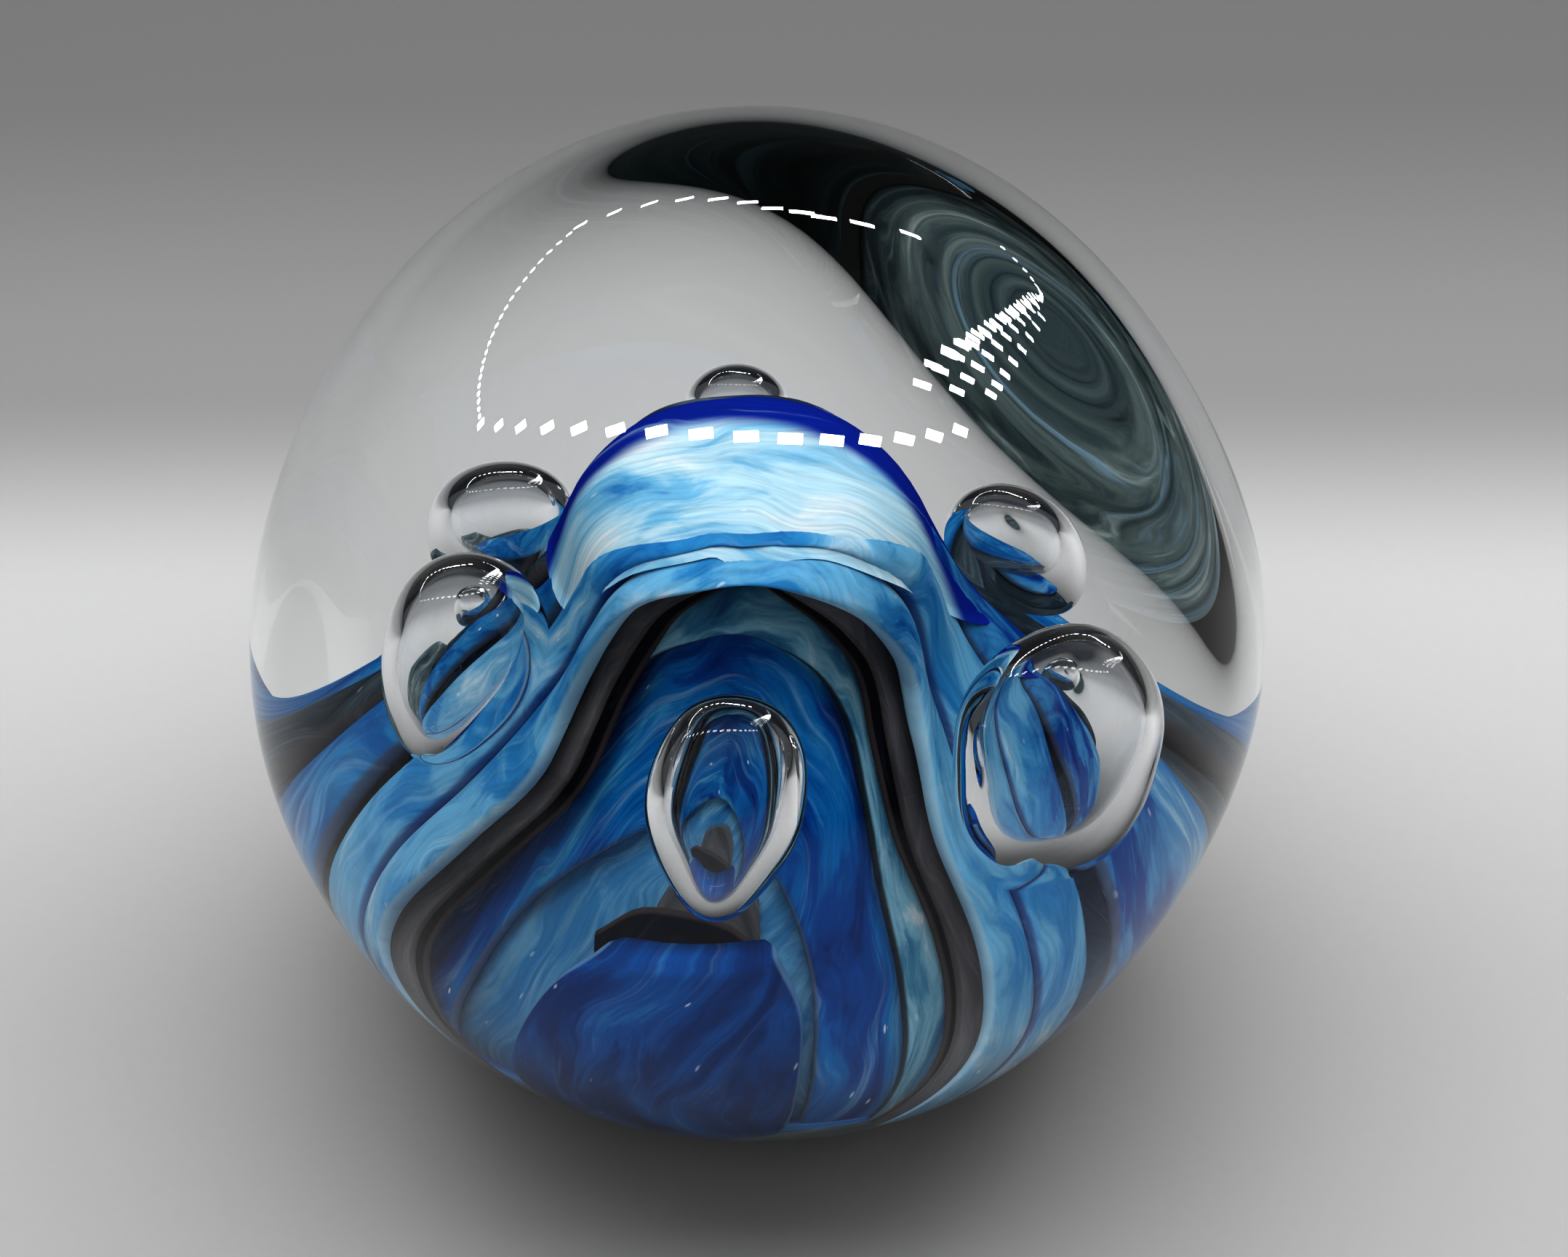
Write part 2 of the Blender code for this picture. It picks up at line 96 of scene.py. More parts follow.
# Edges of the front arches, (azimuth, height) from the left foot over the crown
LIP_EDGE = ((-44, 12), (-60, 18.5), (-68, 24), (-62, 30), (-54, 35), (-55, 40), (-42, 46),
            (-15, 48.2), (12, 48.3), (38, 46), (53, 41), (47, 37), (41, 33), (40, 27),
            (34, 20.5), (20, 13))
MID_EDGE = ((-54, 10), (-68, 18), (-76, 26), (-71, 33), (-64, 41), (-50, 47.2), (-22, 49.3),
            (12, 49.5), (46, 48.4), (66, 43.6), (61, 38), (53, 32.5), (50, 27), (43, 20), (29, 11))
CREST_EDGE = ((-64, 9), (-80, 19), (-89, 27), (-88, 34), (-84, 42), (-70, 47.5), (-40, 49.7),
              (5, 49.95), (48, 49.6), (84, 46.0), (82, 38), (67, 29), (57, 23), (48, 17),
              (37, 10))
TEAL_EDGE = ((-68, 13), (-74, 20.5), (-76, 24), (-72, 28.5), (-65, 33), (-59, 37.5),
             (-52, 42.3), (-34, 45), (-10, 46.4), (14, 46.4), (38, 44.2), (55, 40), (48, 36),
             (41, 32), (39, 28), (36, 22.5), (25, 14))
FACE_EDGE = ((-62, 13), (-68, 20), (-70.5, 24.5), (-66, 29), (-58, 34.5), (-51, 39),
             (-38, 41.8), (-14, 43.2), (8, 43), (27, 41.2), (35, 38), (32, 34.5), (29, 30),
             (27.5, 25), (24, 19.5), (16, 12.5))
PANEL_EDGE = ((-50, 11), (-58, 15), (-59, 20), (-55, 26), (-40, 30.5), (-22, 33), (-6, 32.8),
              (6, 30), (11, 26), (10, 21), (5, 13))
PANEL_LEFT = ((-53, 11), (-61, 15), (-62, 20), (-58, 26.5), (-44, 31.5), (-26, 34))
PANEL_RIGHT = ((8, 13), (13, 21), (14, 26), (9, 30.5), (1, 33), (-8, 34))
LOBE_LEFT = ((-36, 10), (-43, 15.5), (-43, 19.5), (-39, 24), (-31, 26.8))
LOBE_RIGHT = ((0, 10), (4.5, 15.5), (7, 20.5), (8, 24.5), (4, 27.6))
WINDOW_TOP = ((-24, 28.5), (-20, 30.2), (-12, 30.8), (-4, 30.6), (1, 29))
WINDOW_LOW = ((-24, 24.5), (-20, 24), (-12, 24), (-4, 24.5), (1, 25))
SLOT_TOP = ((-36, 26.6), (-28, 28.2), (-17, 28.5), (-7, 28.1), (1, 27))
SLOT_LOW = ((-33, 24), (-25, 23.5), (-14, 24), (-6, 24.5), (0, 25))

# Flanks, rear arches, and the veils behind their seams
LEFT_RIBBON = (((-71, 8.8), (-85, 19), (-94, 27), (-93, 34), (-87, 41)),
               ((-84, 8), (-100, 18), (-111, 27), (-109, 35), (-98, 42)))
COBALT_RIBBON = (((43, 9.4), (54, 16.5), (63, 22.5), (73, 28.5), (82, 38), (85, 44)),
                 ((58, 8), (78, 17), (98, 24), (110, 32), (111, 39), (102, 45)))
REAR_LIP = ((150, 11), (143, 20), (142, 29), (148, 38), (162, 43), (182, 44.5), (202, 43),
            (216, 38), (220, 29), (218, 20), (210, 11))
REAR_MID = ((136, 9.5), (128, 20), (127, 30), (134, 40), (154, 46.2), (182, 48), (210, 46.2),
            (228, 40), (234, 30), (232, 20), (224, 9.5))
REAR_CREST = ((124, 8.5), (117, 19), (117, 30), (120, 41), (145, 47.8), (182, 49.4),
              (215, 47.8), (239, 41), (244, 30), (243, 19), (236, 8.5))
REAR_PANEL = ((172, 12), (166, 20), (167, 27), (182, 31), (197, 27), (198, 20), (192, 12))
REAR_LEFT = ((170, 12), (163, 20), (164, 27.5), (176, 32))
REAR_RIGHT = ((194, 12), (201, 20), (200, 27.5), (188, 32))
LEFT_VEIL = (((-96, 9), (-103, 20), (-103, 31), (-97, 40)),
             ((-114, 9), (-122, 20), (-122, 31), (-122, 40)))
RIGHT_VEIL = (((76, 9), (94, 19), (105, 29), (106, 40)),
              ((112, 9), (124, 20), (124, 31), (124, 40)))
CAP_LOOP = ((-180, 47.5), (-150, 45.5), (-120, 42.5), (-98, 41.5), (-80, 41.5), (-66, 43.5),
            (-48, 47.6), (-20, 49.2), (-4, 48.9), (4, 48.5), (12, 49.1), (40, 48.6), (62, 45.5),
            (78, 41.5), (92, 38.5), (106, 38.5), (130, 43), (155, 46), (180, 47.5))

# Depths of the layers under the veil's outer face
OUTER, SHELF, RECESS, TEAL, FACE, PANEL, LOBE = 0.0, 1.2, 2.1, 2.9, 4.05, 5.2, 1.6
SLOT, WINDOW = 4.1, 4.6

# Ribbons: space between stations, reach of a rolled edge, unevenness and its reach
STATION_SPACING = 0.8
ROLL_REACH = 1.3
RIBBON_UNEVENNESS, RIBBON_UNEVEN_REACH = 0.12, 4.0

# Core: its depth, the height down to which it follows the veil, and its smallest radius
CORE_DEPTH = 6.6
CORE_LOW = 20.0
CORE_TIP = 0.2
CORE_SEGMENTS = 144

# Points on each span of an outline, of an edge and of the foot, and points on a shifted edge
OUTLINE_STEPS, EDGE_STEPS, FOOT_STEPS = 12, 16, 6
EDGE_POINTS = 40

# Marbled trail near the ball's skin, a guess at what colours the reflection: its top by
# azimuth, as elevations from the ball's middle
TRAIL_TOP = ((152, -47), (182, -41.5), (202, -41.5), (214, -33), (240, -29), (262, -33))
TRAIL_FOOT = -64.0
TRAIL_DEPTH, TRAIL_THICKNESS = 1.6, 0.6
TRAIL_STEPS, TRAIL_STATIONS = 24, 60

# Foot of the core, radius and height from under the ribbons down to the base
FOOT_TOP = 15.0
FOOT_OUTLINE = ((15.5, 18.0), (19.8, 14.8), (20.6, 13.0), (17.6, 9.4), (13.6, 6.4), (10.6, 4.6),
                (10.0, 3.6), (12.5, 2.2), (15.0, 1.2), (15.2, 0.8), (14.6, 0.6))


# ---------------------------------------------------------------- veil geometry

def smooth_curve(points, steps):
    """Catmull-Rom curve through points, with the given number of steps per span."""
    p = np.array(points, float)
    p = np.vstack((2 * p[0] - p[1], p, 2 * p[-1] - p[-2]))
    out = []
    for a, b, c, d in zip(p[:-3], p[1:-2], p[2:-1], p[3:]):
        t = (np.arange(steps) / steps)[:, None]
        out.append(0.5 * (2 * b + (c - a) * t + (2 * a - 5 * b + 4 * c - d) * t**2
                          + (3 * b - a - 3 * c + d) * t**3))
    return np.vstack(out + [p[-2:-1]])


VEIL_CURVE = smooth_curve(VEIL_OUTLINE, OUTLINE_STEPS)
# Grid in which the veil's radius is looked up: heights, and depths under the outer face
HEIGHTS = np.arange(0.0, 57.0, 0.25)
DEPTHS = np.arange(-4.0, 9.01, 0.5)


def offset_outline(depth):
    """Heights and radii of the veil's outline from its foot up, moved inwards by depth."""
    slope = np.gradient(VEIL_CURVE, axis=0)
    length = np.hypot(slope[:, 0], slope[:, 1])
    height = VEIL_CURVE[:, 0] - depth * slope[:, 1] / length
    radius = VEIL_CURVE[:, 1] + depth * slope[:, 0] / length
    keep = radius > 0
    keep[0] = True
    return height[keep][::-1], np.maximum(radius[keep], 0)[::-1]


RADII = np.array([np.interp(HEIGHTS, *offset_outline(depth), right=0.0) for depth in DEPTHS])
CLIMB_HEIGHTS, CLIMB_RADII = offset_outline(0)
CLIMB = np.concatenate(([0], np.cumsum(np.hypot(np.diff(CLIMB_HEIGHTS), np.diff(CLIMB_RADII)))))


def veil_radius(height, depth):
    """Radius of the layer at a depth and height, from the table of outlines."""
    d = np.clip((depth - DEPTHS[0]) / (DEPTHS[1] - DEPTHS[0]), 0, len(DEPTHS) - 1.001)
    h = np.clip(height / HEIGHTS[1], 0, len(HEIGHTS) - 1.001)
    i, j = d.astype(int), h.astype(int)
    a, b = d - i, h - j
    return ((RADII[i, j] * (1 - a) + RADII[i + 1, j] * a) * (1 - b)
            + (RADII[i, j + 1] * (1 - a) + RADII[i + 1, j + 1] * a) * b)


def dent(azimuth, height):
    """How far the bubbles press the veil in."""
    deepest = np.zeros_like(azimuth)
    for bearing, ring, level, *_ in BUBBLES.values():
        turn = np.radians((azimuth - bearing + 180) % 360 - 180)
        reach = (turn * ring) ** 2 + (height - level) ** 2
        deepest = np.maximum(deepest, np.exp(-reach / (2 * DENT_SPREAD**2)))
    return DENT_DEPTH * deepest


def veil_points(azimuth, height, depth):
    """Points on the layers under the veil's outer face, in millimetres."""
    azimuth, height, depth = np.broadcast_arrays(*(np.asarray(v, float) for v in
                                                   (azimuth, height, depth)))
    lowest = VEIL_OUTLINE[-1][0] + FOOT_RISE * np.maximum(depth, 0)
    height = np.maximum(height, lowest)
    radius = np.maximum(veil_radius(height, depth) - dent(azimuth, height), 0)
    turn = np.radians(azimuth)
    across, out = CROWN_LEAN
    lean = (height / VEIL_OUTLINE[0][0]) ** 2
    return np.stack((radius * np.sin(turn) + across * lean,
                     -radius * np.cos(turn) + out * lean, height), -1)


def on_surface(edge):
    """An edge as lengths along the veil: round it, and up its outline."""
    radius = np.interp(edge[:, 1], CLIMB_HEIGHTS, CLIMB_RADII)
    level = np.interp(edge[:, 1], CLIMB_HEIGHTS, CLIMB)
    return np.column_stack((np.radians(edge[:, 0]) * radius, level))


def resample(edge, count):
    """Points at even spacing along an edge, and the length they cover."""
    curve = smooth_curve(edge, EDGE_STEPS)
    length = np.concatenate(([0], np.cumsum(np.hypot(*np.diff(on_surface(curve), axis=0).T))))
    places = np.linspace(0, length[-1], count)
    return np.column_stack([np.interp(places, length, curve[:, k]) for k in (0, 1)]), length[-1]


def shifted(edge, at_feet, at_crown):
    """An arch edge moved outwards, or inwards where negative, by more or less at its crown."""
    points, _ = resample(edge, EDGE_POINTS)
    share = np.linspace(0, math.pi, len(points))
    distance = at_feet + (at_crown - at_feet) * np.sin(share) ** 2
    radius = np.interp(points[:, 1], CLIMB_HEIGHTS, CLIMB_RADII)
    level = np.interp(points[:, 1], CLIMB_HEIGHTS, CLIMB)
    run = np.gradient(on_surface(points), axis=0)
    run /= np.hypot(run[:, 0], run[:, 1])[:, None]
    points[:, 0] -= np.degrees(distance * run[:, 1] / radius)
    points[:, 1] = np.interp(level + distance * run[:, 0], CLIMB, CLIMB_HEIGHTS)
    return points


def wobble(points, amount, scale):
    """Slow unevenness at each point, up to about the given amount either way."""
    return np.array([noise.noise(Vector(p) / scale) for p in points.reshape(-1, 3)]
                    ).reshape(points.shape[:-1]) * amount


# ---------------------------------------------------------------- building pieces

def loft(name, rows, flow, rim):
    """A closed piece from rows of points that each run round its section, with two UV maps."""
    mesh = bmesh.new()
    flow_layer = mesh.loops.layers.uv.new("flow")
    rim_layer = mesh.loops.layers.uv.new("rim")
    grid = [[mesh.verts.new(Vector(p) * MM) for p in row] for row in rows]
    around = len(rows[0])
    for r in range(len(rows) - 1):
        for k in range(around):
            after = (k + 1) % around
            corners = ((r, k), (r, after), (r + 1, after), (r + 1, k))
            face = mesh.faces.new([grid[i][j] for i, j in corners])
            for loop, (i, j) in zip(face.loops, corners):
                loop[flow_layer].uv = flow[i][j]
                loop[rim_layer].uv = rim[i][j]
    for r, order in ((0, -1), (len(rows) - 1, 1)):
        face = mesh.faces.new(grid[r][::order])
        for loop, k in zip(face.loops, range(around)[::order]):
            loop[flow_layer].uv = flow[r][k]
            loop[rim_layer].uv = rim[r][k]
    bmesh.ops.recalc_face_normals(mesh, faces=mesh.faces)
    return as_object(name, mesh)


def as_object(name, mesh):
    """Finish a bmesh as a smooth object in the scene."""
    data = bpy.data.meshes.new(name)
    mesh.to_mesh(data)
    mesh.free()
    data.shade_smooth()
    obj = bpy.data.objects.new(name, data)
    bpy.context.scene.collection.objects.link(obj)
    return obj


def place(obj, material, slot, *nodes):
    """Give a piece its material, put it on the root body and hide the CAD nodes that it stands for;
    the slot is not used.
    """
    obj.data.materials.append(material)
    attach(obj, "root")
    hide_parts(*nodes)


def ribbon(name, near, far, depth, thickness, crown=0.0, near_roll=0.0, far_roll=0.0, lanes=18):
    """A rounded ribbon of glass between two edges, with its edges rolled outwards or not."""
    _, length = resample(near, EDGE_POINTS)
    stations = int(length / STATION_SPACING) + 2
    a, near_length = resample(near, stations)
    b, far_length = resample(far, stations)
    widths = np.hypot(*(on_surface(b) - on_surface(a)).T)[:, None]
    share = (0.5 - 0.5 * np.cos(np.pi * np.arange(lanes + 1) / lanes))[None, :]
    azimuth = a[:, :1] * (1 - share) + b[:, :1] * share
    height = a[:, 1:] * (1 - share) + b[:, 1:] * share
    from_near, from_far = widths * share, widths * (1 - share)
    half = thickness / 2
    edge = np.minimum(np.minimum(from_near, from_far) / half, 1)
    bulge = np.sqrt(1 - (1 - edge) ** 2)
    rise = (crown * np.sin(np.pi * share) + near_roll * np.exp(-(from_near / ROLL_REACH) ** 2)
            + far_roll * np.exp(-(from_far / ROLL_REACH) ** 2))
    base = veil_points(azimuth, height, depth)
    rise = rise + wobble(base, RIBBON_UNEVENNESS, RIBBON_UNEVEN_REACH)
    top = veil_points(azimuth, height, depth + half - half * bulge - rise)
    low = veil_points(azimuth, height, depth + half + half * bulge - 0.5 * rise)
    # Flow is the place along and across the ribbon in centimetres. Rim is the share of the
    # way across, and the distance to the nearer edge in centimetres
    along = np.linspace(0, (near_length + far_length) / 20, stations)[:, None] + 0 * share
    across = from_near / 10
    flow = np.stack((along, across), -1)
    rim = np.stack((0 * along + share, np.minimum(from_near, from_far) / 10), -1)
    # The underside is hidden, so it has only every third lane
    inner = slice(-2, 0, -3)
    rows = np.concatenate((top, low[:, inner]), 1)
    flow = np.concatenate((flow, flow[:, inner]), 1)
    rim = np.concatenate((rim, rim[:, inner]), 1)
    return loft(name, rows.tolist(), flow.tolist(), rim.tolist())


def cap(name, edge_loop, depth, thickness, rings=24, spokes=96):
    """The round top of the veil above a closed loop, as a closed dome."""
    outline_heights, outline_radii = offset_outline(depth)
    top = outline_heights > outline_heights.mean()
    edge = smooth_curve(edge_loop, OUTLINE_STEPS)
    azimuth = np.arange(spokes) * 360 / spokes - 180
    rim_height = np.interp(azimuth, edge[:, 0], edge[:, 1])
    rim_radius = np.interp(rim_height, outline_heights, outline_radii)
    rows, flow, rim = [], [], []
    for side in (0, 1):
        for ring in range(rings + 1)[::-1 if side == 0 else 1]:
            keep = 1 - ring / rings * 0.995
            radius = rim_radius * keep
            height = np.interp(-radius, -outline_radii[top], outline_heights[top])
            sink = side * thickness * min(1.0, ring / 2)
            turn = np.radians(azimuth)
            radius = np.maximum(radius - dent(azimuth, height) * keep - 0.5 * sink * keep, 0)
            lean = (height / VEIL_OUTLINE[0][0]) ** 2
            rows.append(np.stack((radius * np.sin(turn) + CROWN_LEAN[0] * lean,
                                  -radius * np.cos(turn) + CROWN_LEAN[1] * lean,
                                  height - sink), -1).tolist())
            flow.append(np.stack((radius * np.sin(turn), -radius * np.cos(turn)), -1) / 10)
            rim.append(np.stack((0 * turn + keep, 0 * turn + 0.5), -1).tolist())
    return loft(name, rows, flow, rim)


# ---------------------------------------------------------------- materials

class Nodes:
    """A small helper that adds and links shader nodes."""

    def __init__(self, name):
        self.material = bpy.data.materials.new(name)
        self.material.use_nodes = True
        self.tree = self.material.node_tree
        self.tree.nodes.clear()

    def add(self, kind, inputs=None, **settings):
        node = self.tree.nodes.new("ShaderNode" + kind)
        for key, value in settings.items():
            setattr(node, key, value)
        for key, value in (inputs or {}).items():
            if isinstance(value, bpy.types.NodeSocket):
                self.tree.links.new(value, node.inputs[key])
            else:
                node.inputs[key].default_value = value
        return node

    def maths(self, operation, *values):
        node = self.add("Math", operation=operation)
        for k, value in enumerate(values):
            if isinstance(value, bpy.types.NodeSocket):
                self.tree.links.new(value, node.inputs[k])
            else:
                node.inputs[k].default_value = value
        return node.outputs[0]

    def ramp(self, factor, stops):
        node = self.add("ValToRGB", {"Fac": factor})
        node.color_ramp.interpolation = "EASE"
        elements = node.color_ramp.elements
        while len(elements) < len(stops):
            elements.new(0.5)
        for element, (position, colour) in zip(elements, stops):
            element.position = position
            element.color = (*colour, 1)
        return node.outputs["Color"]

    def mask(self, factor, low, high):
        node = self.add("MapRange", {"Value": factor, "From Min": low, "From Max": high},
                        interpolation_type="SMOOTHSTEP")
        return node.outputs["Result"]

    def mix(self, factor, a, b, blend="MIX"):
        node = self.add("Mix", data_type="RGBA", blend_type=blend)
        for key, value in ((0, factor), (6, a), (7, b)):
            if isinstance(value, bpy.types.NodeSocket):
                self.tree.links.new(value, node.inputs[key])
            else:
                node.inputs[key].default_value = value if key == 0 else (*value, 1)
        return node.outputs[2]

    def scaled(self, vector, scale, turn=0.0):
        node = self.add("Mapping", {"Vector": vector, "Scale": scale})
        node.inputs["Rotation"].default_value = (0, 0, math.radians(turn))
        return node.outputs["Vector"]

    def noise(self, vector, scale, detail=4.0, distortion=0.0, roughness=0.55):
        node = self.add("TexNoise", {"Vector": vector, "Scale": scale, "Detail": detail,
                                     "Distortion": distortion, "Roughness": roughness})
        return node.outputs["Fac"]

    def finish(self, surface):
        out = self.add("OutputMaterial", {"Surface": surface})
        out.is_active_output = True
        return self.material


def veil_glass(name, stops, streaks=0.3, specks=0.5, slant=0.0, edge_line_and_highlight=(0.10, 0.08, 0.08),
               edge_share=0.6, cloud=1.0, seed=0.0, back=None):
    """Opaque coloured glass: clouds along the ribbon, drawn-out streaks, specks and edge lines,
    which on the sky and night blue glasses are partly painted highlights.

    Where a back colour is given, the glass turns to it past a curved line over the crown.
    """
    n = Nodes(name)
    flow = n.add("UVMap", uv_map="flow").outputs["UV"]
    rim = n.add("SeparateXYZ", {"Vector": n.add("UVMap", uv_map="rim").outputs["UV"]})
    flow = n.add("VectorMath", {0: flow, 1: (seed, seed * 0.7, 0.0)}, operation="ADD").outputs[0]
    warp = n.add("TexNoise", {"Vector": flow, "Scale": 0.9, "Detail": 2.0}).outputs["Color"]
    bent = n.add("VectorMath", {0: warp, 1: (0.5, 0.9, 0.0), 2: flow}, operation="MULTIPLY_ADD")
    bent = bent.outputs[0]
    clouds = n.noise(n.scaled(bent, (0.5, 1.5, 1.0)), 1.5 * cloud, 6.0, 0.6, 0.6)
    colour = n.ramp(clouds, stops)
    if back:
        spot = n.add("SeparateXYZ", {"Vector": n.add("TexCoord").outputs["Object"]})
        side = n.maths("ADD", spot.outputs["X"], 0.0016)
        along = n.maths("MULTIPLY_ADD", n.maths("MULTIPLY", side, side), 38.0, spot.outputs["Y"])
        along = n.maths("MULTIPLY_ADD", clouds, 0.002, along)
        colour = n.mix(n.mask(along, 0.0040, 0.0056), colour, back)
    drawn = n.noise(n.scaled(bent, (0.35, 5.0, 1.0), slant), 1.6, 5.0, 0.2, 0.65)
    drawn = n.maths("MULTIPLY", n.mask(drawn, 0.54, 0.74), streaks)
    colour = n.mix(drawn, colour, (0.45, 0.70, 0.90))
    fine = n.noise(n.scaled(bent, (0.8, 14.0, 1.0), slant), 2.0, 3.0)
    colour = n.mix(n.maths("MULTIPLY", n.mask(fine, 0.35, 0.7), 0.22), colour, (0.0, 0.02, 0.09))
    dots = n.add("TexVoronoi", {"Vector": n.scaled(bent, (2.2, 4.2, 1.0), slant), "Scale": 1.6,
                                "Randomness": 1.0})
    dot = n.mask(dots.outputs["Distance"], 0.11, 0.05)
    rare = n.mask(n.add("SeparateXYZ", {"Vector": dots.outputs["Color"]}).outputs["X"], 0.62, 0.66)
    dot = n.maths("MULTIPLY", n.maths("MULTIPLY", dot, rare), specks)
    colour = n.mix(dot, colour, (0.85, 0.92, 0.97))
    # Edge lines: dark or tan lines in the glass; on the sky and night blue glasses a lighter line
    # that is partly a painted highlight.
    line = n.mask(rim.outputs["Y"], 0.036, 0.012)
    colour = n.mix(n.maths("MULTIPLY", line, edge_share), colour, edge_line_and_highlight)
    bump = n.add("Bump", {"Height": clouds, "Strength": 0.15, "Distance": 0.0004})
    rough = n.add("MapRange", {"Value": fine, "To Min": 0.28, "To Max": 0.5}).outputs["Result"]
    shader = n.add("BsdfPrincipled", {"Base Color": colour, "Roughness": rough,
                                      "Specular IOR Level": 0.0, "Normal": bump.outputs[0]})
    return n.finish(shader.outputs[0])


def clear_glass(name, roughness, shade):
    """Crystal that lets lamps reach what is inside it and casts a shadow on what is outside."""
    n = Nodes(name)
    spot = n.add("TexCoord").outputs["Object"]
    smear = n.noise(n.scaled(spot, (60, 60, 60)), 1.0, 5.0)
    rough = n.add("MapRange", {"Value": smear, "From Min": 0.55, "From Max": 0.8,
                               "To Min": roughness, "To Max": roughness + 0.01}).outputs["Result"]
    ripple = n.noise(n.scaled(spot, (45, 45, 20)), 1.0, 1.0)
    bump = n.add("Bump", {"Height": ripple, "Strength": 0.04, "Distance": 0.0006})
    glass = n.add("BsdfPrincipled", {"Base Color": (0.985, 0.995, 1.0, 1), "Roughness": rough,
                                     "IOR": 1.5, "Transmission Weight": 1.0,
                                     "Normal": bump.outputs[0]})
    ways = n.add("LightPath").outputs
    straight = n.maths("MAXIMUM", ways["Is Shadow Ray"], ways["Is Diffuse Ray"])
    from_inside = n.add("NewGeometry").outputs["Backfacing"]
    veil = n.mix(from_inside, (shade, shade, shade), (0.98, 0.98, 0.98))
    passing = n.add("BsdfTransparent", {"Color": veil})
    mixed = n.add("MixShader", {0: straight, 1: glass.outputs[0], 2: passing.outputs[0]})
    return n.finish(mixed.outputs[0])


# ---------------------------------------------------------------- the clear ball

def turned_rows(outline, segments):
    """Rings of points for a solid of revolution from (radius, height) pairs."""
    turn = np.linspace(0, 2 * math.pi, segments, endpoint=False)
    return [np.stack((r * np.cos(turn), r * np.sin(turn), 0 * turn + h), -1) for r, h in outline]


def add_rings(mesh, rows):
    """Join rings of points with quads and close both ends with a fan."""
    grid = [[mesh.verts.new(Vector(p) * MM) for p in row] for row in rows]
    faces = []
    for near, far in zip(grid, grid[1:]):
        for k in range(len(near)):
            after = (k + 1) % len(near)
            faces.append(mesh.faces.new((near[k], far[k], far[after], near[after])))
    for end, turn in ((0, 1), (-1, -1)):
        centre = mesh.verts.new(Vector(np.mean(rows[end], axis=0)) * MM)
        ring = grid[end]
        for k in range(len(ring)):
            after = (k + 1) % len(ring)
            faces.append(mesh.faces.new((ring[k], ring[after], centre)[::turn]))
    return faces


def bubble_rows(shape):
    """Rings of an egg-shaped void, wider above its middle, with its own slight unevenness."""
    bearing, ring, level, wide, tall, right, back = shape
    angles = np.linspace(POLE_GAP, math.pi - POLE_GAP, BUBBLE_RINGS)
    outline = [(math.sin(a) * 0.5, math.cos(a) * 0.5) for a in angles]
    lean = np.array(Euler((math.radians(-back), math.radians(right), 0)).to_matrix())
    azimuth = math.radians(bearing)
    centre = np.array((ring * math.sin(azimuth), -ring * math.cos(azimuth), level))
    rows = []
    for row in turned_rows(outline, BUBBLE_SEGMENTS):
        swell = 1 + BUBBLE_SWELL * row[:, 2:] * (1 - row[:, 2:])
        girth = np.hstack((swell, swell, swell * 0 + 1))
        egg = row * np.array((wide, wide * BUBBLE_FLATNESS, tall)) * girth
        uneven = wobble(egg + centre, BUBBLE_UNEVENNESS, BUBBLE_UNEVEN_REACH)
        egg = egg * (1 + uneven[:, None])
        rows.append(egg @ lean.T + centre)
    return rows


def body_radius(directions):
    """Distance from the ball's middle to its skin along unit directions."""
    level = np.hypot(directions[..., 0], directions[..., 1])
    radius = 1 / np.hypot(level / BALL_RADIUS, directions[..., 2] / BALL_HALF_HEIGHT)
    for azimuth, elevation, out, spread in SWELLS:
        turn, rise = math.radians(azimuth), math.radians(elevation)
        middle = np.array((math.sin(turn) * math.cos(rise), -math.cos(turn) * math.cos(rise),
                           math.sin(rise)))
        angle = np.degrees(np.arccos(np.clip(directions @ middle, -1, 1)))
        radius = radius + out * np.exp(-0.5 * (angle / spread) ** 2)
    return radius


def body_points(azimuth, elevation):
    """Points on the ball's skin at azimuths and elevations in degrees."""
    turn, rise = np.broadcast_arrays(np.radians(azimuth), np.radians(elevation))
    way = np.stack((np.sin(turn) * np.cos(rise), -np.cos(turn) * np.cos(rise), np.sin(rise)), -1)
    return way * body_radius(way)[..., None] + np.array((0, 0, BALL_CENTRE))


def ball():
    """The fused clear gathers: the polished outside and every trapped bubble, in one piece."""
    mesh = bmesh.new()
    azimuth = np.arange(BALL_SEGMENTS) * 360 / BALL_SEGMENTS
    steep = np.linspace(*BASE_SEARCH)
    heights = body_points(azimuth[None, :], steep[:, None])[..., 2]
    foot = np.array([np.interp(BASE_EDGE, column, steep) for column in heights.T])
    rows = [body_points(azimuth, TOP_RING + (foot - TOP_RING) * share)
            for share in np.linspace(0, 1, BALL_RINGS)]
    for inset, height in BASE_RINGS:
        ring = rows[-1] * np.array((inset, inset, 0))
        rows.append(ring + np.array((0, 0, height)))
    faces = add_rings(mesh, rows)
    for face in faces:
        face.material_index = int(face.calc_center_median().z < GROUND_TOP * MM)
    for shape in (*BUBBLES.values(), SEED_BUBBLE):
        made = add_rings(mesh, bubble_rows(shape))
        bmesh.ops.recalc_face_normals(mesh, faces=made)
        bmesh.ops.reverse_faces(mesh, faces=made)
        for face in made:
            face.material_index = 2
    obj = as_object("clear_ball", mesh)
    place(obj, clear_glass("crystal", 0.0, 0.12), "clear_glass", "outer_gather", "inner_gather")
    obj.data.materials.append(clear_glass("ground_base", 0.35, 0.0))
    obj.data.materials.append(clear_glass("bubble_skin", 0.0, 0.9))


